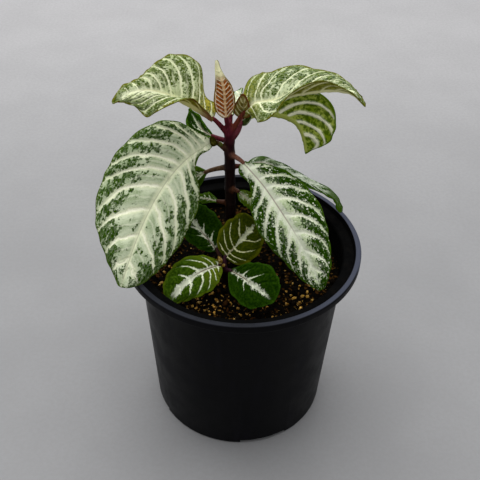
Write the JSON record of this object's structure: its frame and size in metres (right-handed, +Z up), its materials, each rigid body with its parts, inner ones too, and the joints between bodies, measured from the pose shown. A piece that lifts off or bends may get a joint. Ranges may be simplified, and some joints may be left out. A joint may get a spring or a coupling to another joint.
{
  "type": "potted zebra plant",
  "caption": "Young zebra plant with broad white-veined leaves on an upright stem and a short side shoot, in a round black nursery pot filled with potting soil.",
  "frame": {"origin": "centre of the pot's underside, on the surface that it stands on", "axes": "+Z up, the pictured front faces -Y, +X is to the right in the picture"},
  "size_m": [0.1294, 0.12, 0.1991],
  "materials": {
    "black_plastic": "satin black moulded plastic",
    "potting_mix": "dark crumbly potting mix with pale grains",
    "stem_bark": "dark purple-brown young bark",
    "shoot_bark": "dark purple young bark",
    "leaf_mature": "green leaf with cream veins and pale frosting",
    "leaf_top": "olive green leaf with cream veins",
    "leaf_small": "dark green leaf with white stripes",
    "leaf_young": "unfolding red-brown leaf with pink-cream veins",
    "leaf_shoot": "dark green leaf with a white midrib",
    "leaf_shoot_olive": "olive bronze leaf with thin cream veins"
  },
  "bodies": {
    "root": {"pot": "black_plastic", "soil": "potting_mix", "main_stem": "stem_bark", "side_shoot": "shoot_bark", "leaf_big_left": "leaf_mature", "leaf_big_right": "leaf_mature", "leaf_back_right": "leaf_mature", "leaf_top_left": "leaf_top", "leaf_top_right": "leaf_top", "leaf_upper_right": "leaf_top", "leaf_upper_left": "leaf_small", "leaf_low_left": "leaf_small", "leaf_small_right": "leaf_small", "leaf_small_left": "leaf_small", "leaf_young_front": "leaf_young", "leaf_young_back": "leaf_young", "shoot_leaf_back": "leaf_shoot", "shoot_leaf_right": "leaf_shoot_olive", "shoot_leaf_left": "leaf_shoot", "shoot_leaf_front": "leaf_shoot"}
  },
  "joints": []
}
